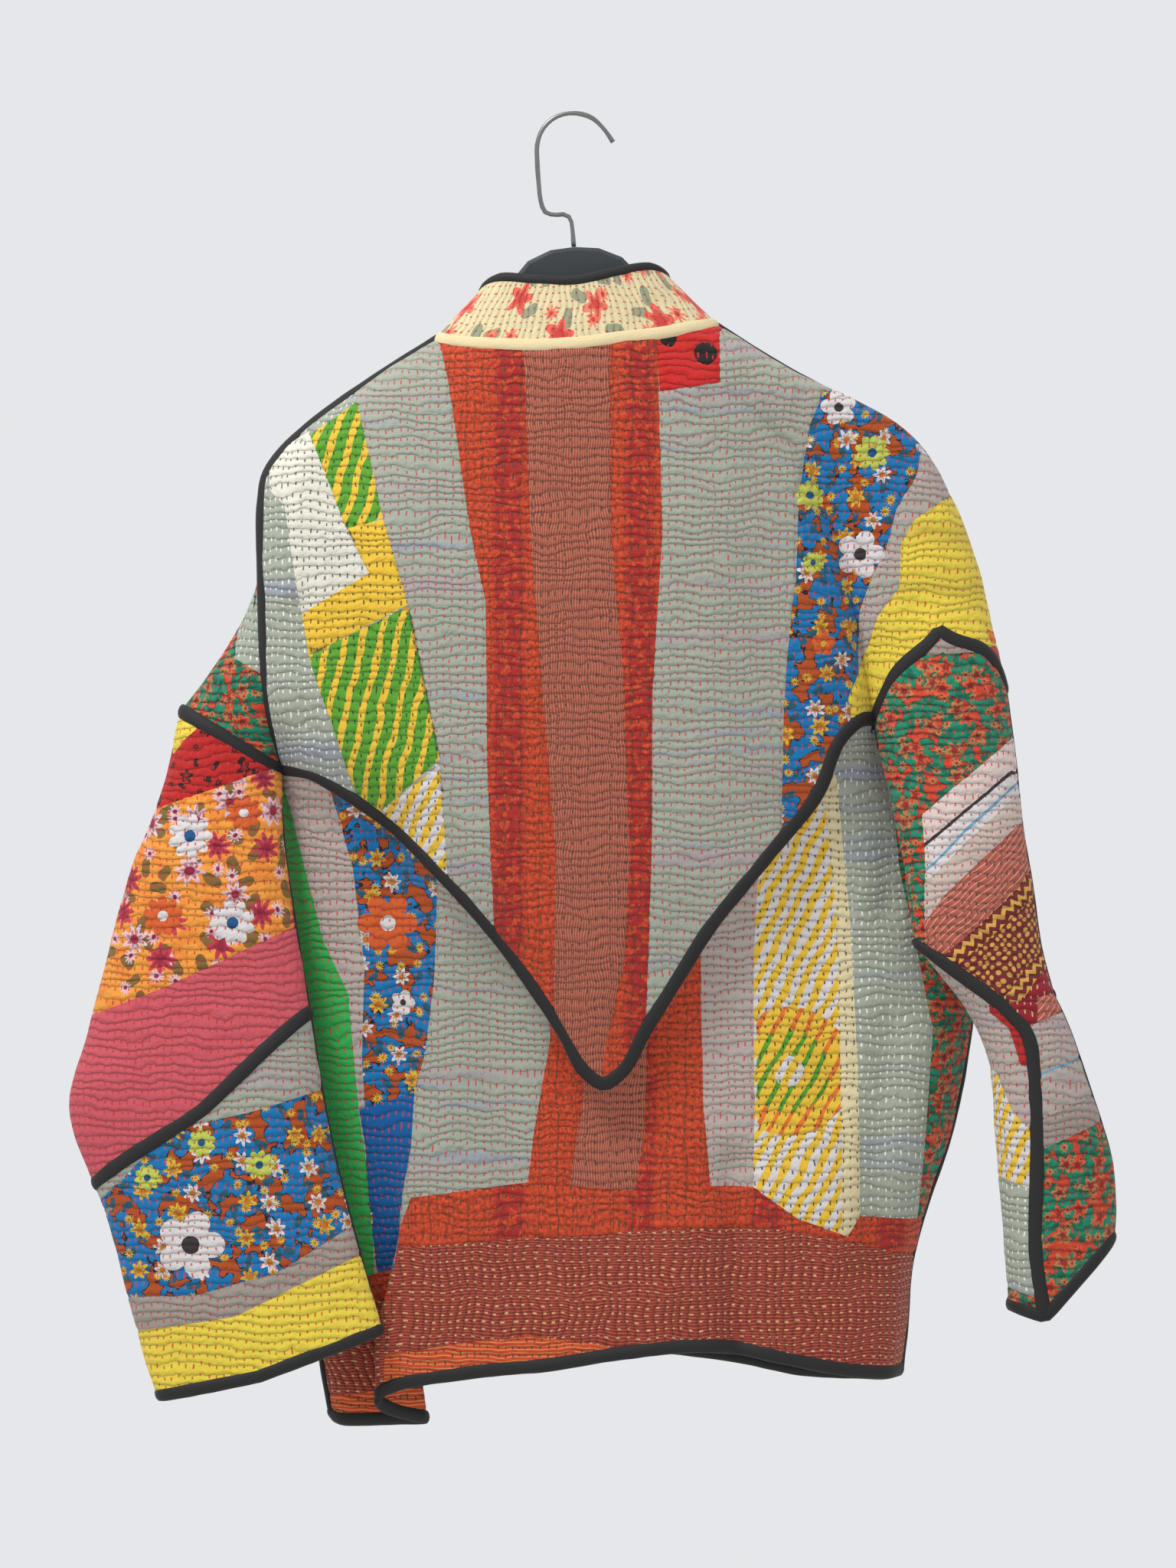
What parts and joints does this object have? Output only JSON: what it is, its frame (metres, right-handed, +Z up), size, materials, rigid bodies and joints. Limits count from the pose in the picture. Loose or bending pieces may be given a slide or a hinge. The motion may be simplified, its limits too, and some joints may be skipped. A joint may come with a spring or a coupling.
{
  "type": "patchwork jacket on a clothes hanger",
  "caption": "Quilted patchwork jacket with a stand collar and wide sleeves, hanging open in front from a plastic hanger with a wire hook.",
  "frame": {"origin": "underside of the crown of the hanger's hook, where a peg or a rail carries it", "axes": "+Z up, +Y from the jacket's back, which the picture shows, to its open front, +X to the right as seen from behind"},
  "size_m": [0.6818, 0.114, 0.8661],
  "materials": {
    "quilted_cloth": "quilted cotton and jacquard, matte with a faint sheen",
    "yoke_cloth": "quilted cotton and jacquard, matte with a faint sheen",
    "sleeve_cloth": "quilted printed cotton, matte",
    "collar_cloth": "quilted printed cotton, matte",
    "black_binding": "black cotton bias binding, matte",
    "hanger_plastic": "moulded, satin",
    "hook_steel": "plated wire"
  },
  "bodies": {
    "root": {"back_yoke": "yoke_cloth", "front_yoke_left": "yoke_cloth", "front_yoke_right": "yoke_cloth", "back_lower": "quilted_cloth", "front_lower_left": "quilted_cloth", "front_lower_right": "quilted_cloth", "sleeve_upper_left": "sleeve_cloth", "sleeve_upper_right": "sleeve_cloth", "sleeve_lower_left": "sleeve_cloth", "sleeve_lower_right_back": "sleeve_cloth", "sleeve_lower_right_front": "sleeve_cloth", "collar": "collar_cloth", "yoke_point_piping": "black_binding", "shoulder_piping_left": "black_binding", "shoulder_piping_right": "black_binding", "front_yoke_piping_left": "black_binding", "front_yoke_piping_right": "black_binding", "side_piping_left": "black_binding", "side_piping_right": "black_binding", "cap_piping_left": "black_binding", "cap_piping_right": "black_binding", "sleeve_diagonal_piping_left": "black_binding", "cuff_binding_left": "black_binding", "cuff_binding_right": "black_binding", "sleeve_seam_upper_left": "black_binding", "sleeve_seam_lower_left": "black_binding", "sleeve_seam_upper_right": "black_binding", "sleeve_seam_lower_right": "black_binding", "sleeve_ridge_piping_right": "black_binding", "collar_band": "black_binding", "collar_binding": "black_binding", "hem_binding": "black_binding", "front_edge_binding_left": "black_binding", "front_edge_binding_right": "black_binding", "hanger_body": "hanger_plastic", "hanger_hook": "hook_steel"}
  },
  "joints": []
}
